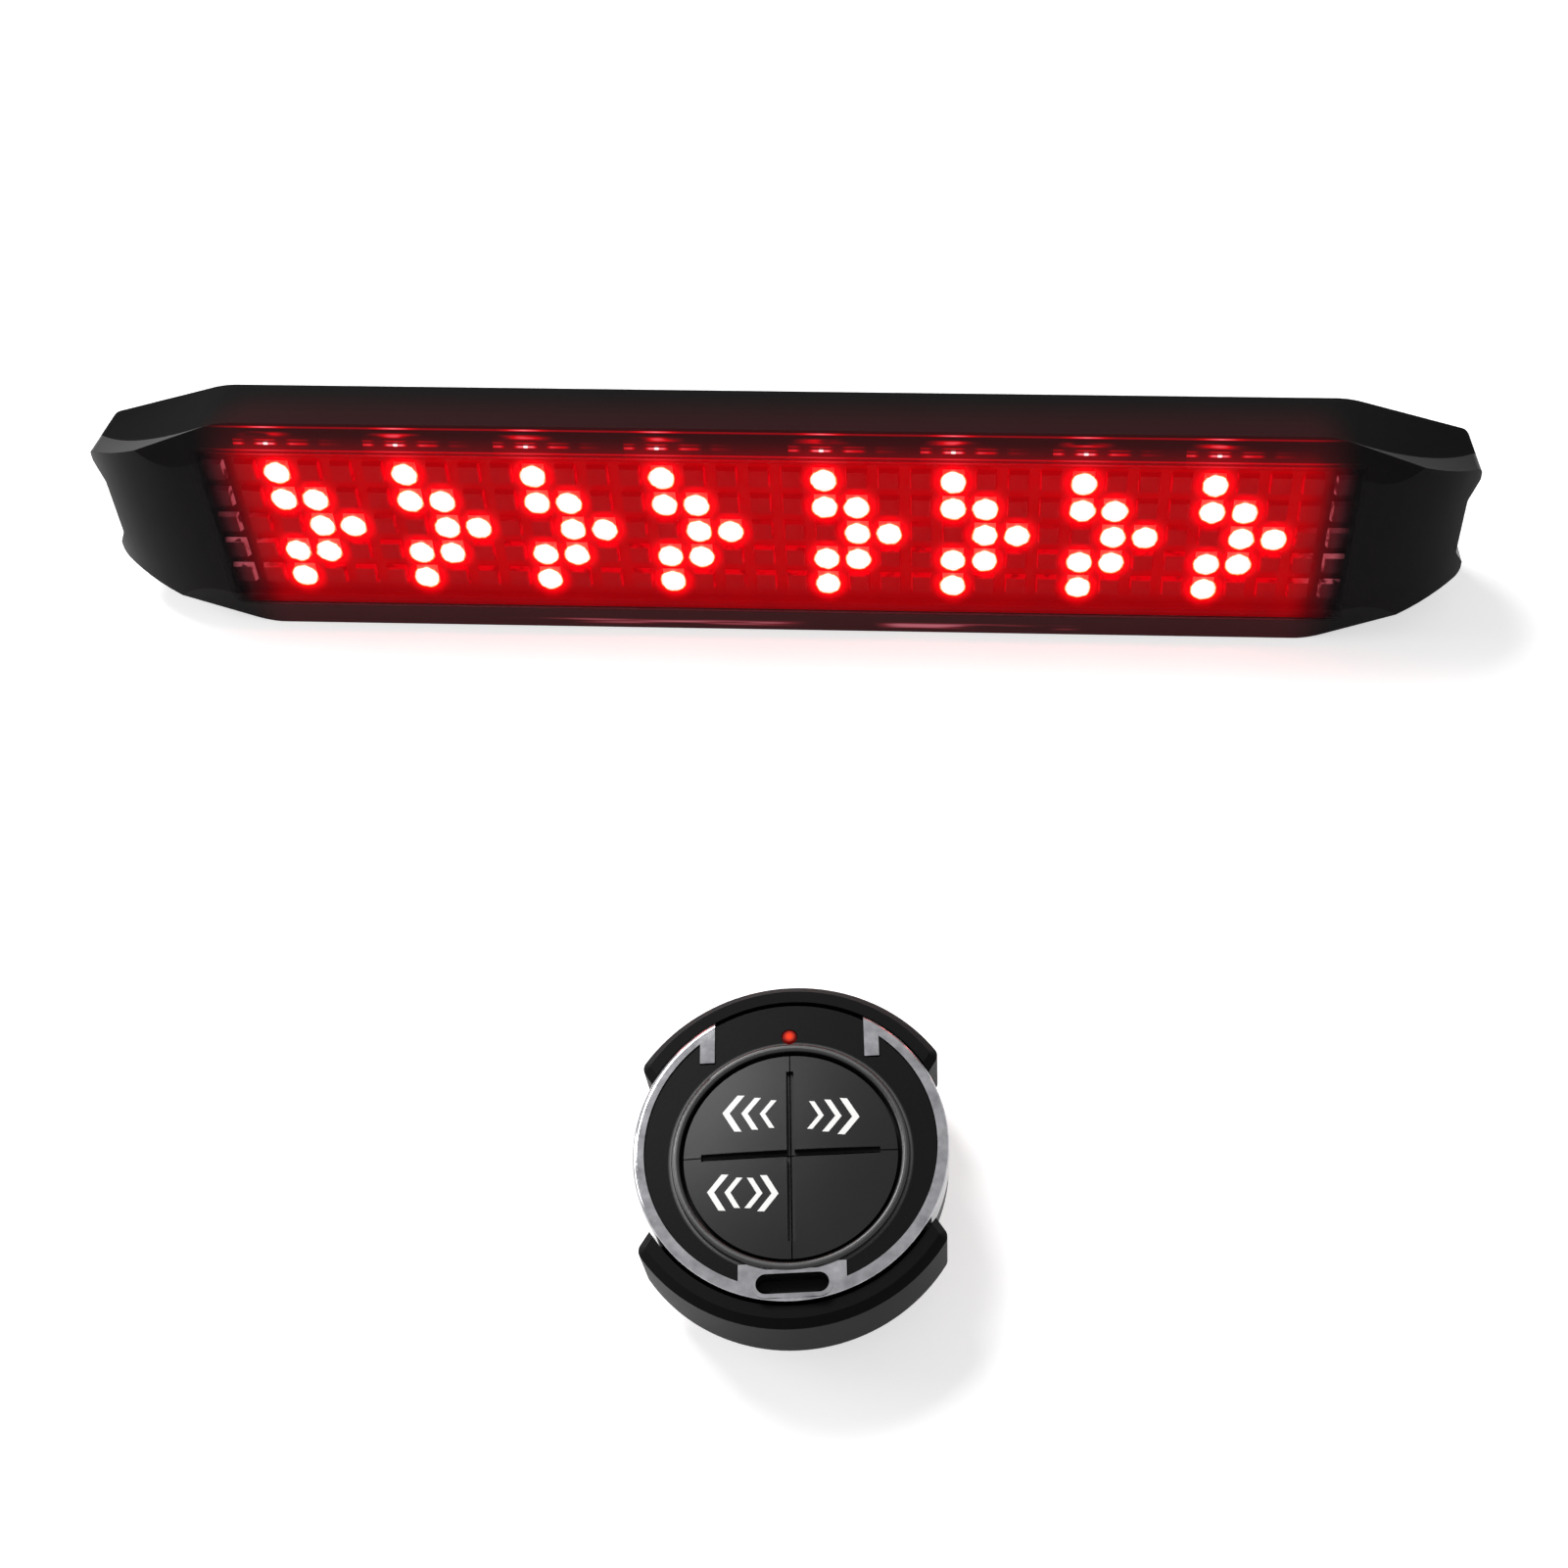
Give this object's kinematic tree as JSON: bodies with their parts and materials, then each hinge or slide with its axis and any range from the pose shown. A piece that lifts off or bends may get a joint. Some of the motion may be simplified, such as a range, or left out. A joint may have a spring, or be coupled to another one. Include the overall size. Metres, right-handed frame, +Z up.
{
  "type": "bicycle turn signal light",
  "caption": "Red LED turn signal bar with smoked lens and seat post bracket, with a round keypad remote in a handlebar cradle.",
  "frame": {"origin": "middle of the bar's tapered bottom wall, the face that it stands on", "axes": "+X to the right for somebody who looks at the lamps and along the bar, +Y away from that viewer, +Z up. The bar leans back by 13.6 degrees, the taper of its wall, and the remote lies in front of it at negative Y"},
  "size_m": [0.2006, 0.1428, 0.0347],
  "materials": {
    "casing": "satin moulded black ABS",
    "smoked_lens": "smoked red-black clear polycarbonate",
    "seal_rubber": "black silicone",
    "board_mask": "dark solder mask on glass-fibre board",
    "lamp_lit": "lit red lamp, white-hot at the middle",
    "lamp_dark": "unlit lamp package, pale red resin",
    "cell_wrap": "silver pouch film",
    "foam": "black foam tape",
    "lead_wire": "red silicone wire",
    "green_board": "green solder mask on glass-fibre board",
    "steel": "plated steel",
    "chip_resin": "black epoxy",
    "button_plastic": "fine textured black",
    "bracket_plastic": "black nylon",
    "trim_chrome": "bright chromed ring",
    "remote_plastic": "satin black ABS",
    "key_rubber": "matt black silicone with white printed marks",
    "cradle_plastic": "black nylon cup",
    "indicator_red": "lit red indicator"
  },
  "bodies": {
    "root": {"battery": "cell_wrap", "battery_clip": "steel", "battery_leads": "lead_wire", "battery_pad": "foam", "board_connector": "chip_resin", "board_screws": "steel", "bracket_screws": "steel", "case_screws": "steel", "coin_cell": "steel", "control_board": "green_board", "control_chip": "chip_resin", "cradle_pad": "seal_rubber", "dark_lamps": "lamp_dark", "front_lens": "smoked_lens", "handlebar_cradle": "cradle_plastic", "indicator_lamp": "indicator_red", "keypad_membrane": "seal_rubber", "led_board": "board_mask", "lens_seal": "seal_rubber", "lit_lamps": "lamp_lit", "post_bracket": "bracket_plastic", "post_pad": "seal_rubber", "power_switch": "chip_resin", "rear_casing": "casing", "receiver_module": "steel", "remote_back_cover": "remote_plastic", "remote_board": "green_board", "remote_front_shell": "remote_plastic", "remote_screws": "steel", "remote_seal": "seal_rubber", "tact_switches": "chip_resin", "trim_ring": "trim_chrome", "usb_socket": "steel"},
    "power_button": {"power_button": "button_plastic"},
    "usb_flap": {"usb_flap": "seal_rubber"},
    "key_left": {"key_left": "key_rubber"},
    "key_right": {"key_right": "key_rubber"},
    "key_hazard": {"key_hazard": "key_rubber"},
    "key_plain": {"key_plain": "key_rubber"}
  },
  "joints": [
    {"name": "power_button_press", "type": "slide", "parent": "root", "child": "power_button", "axis": [0, -0.9719, 0.2356], "range_m": [0, 0.0004], "stiffness_N_per_m": 400, "springref_m": -0.0005},
    {"name": "usb_flap_open", "type": "hinge", "parent": "root", "child": "usb_flap", "pos_m": [0.0315, 0.01176, 0.01346], "axis": [0, 0.2356, 0.9719], "range_deg": [0, 120]},
    {"name": "key_left_press", "type": "slide", "parent": "root", "child": "key_left", "axis": [0, 0, -1], "range_m": [0, 0.0004], "stiffness_N_per_m": 300, "springref_m": -0.0005},
    {"name": "key_right_press", "type": "slide", "parent": "root", "child": "key_right", "axis": [0, 0, -1], "range_m": [0, 0.0004], "stiffness_N_per_m": 300, "springref_m": -0.0005},
    {"name": "key_hazard_press", "type": "slide", "parent": "root", "child": "key_hazard", "axis": [0, 0, -1], "range_m": [0, 0.0004], "stiffness_N_per_m": 300, "springref_m": -0.0005},
    {"name": "key_plain_press", "type": "slide", "parent": "root", "child": "key_plain", "axis": [0, 0, -1], "range_m": [0, 0.0004], "stiffness_N_per_m": 300, "springref_m": -0.0005}
  ]
}
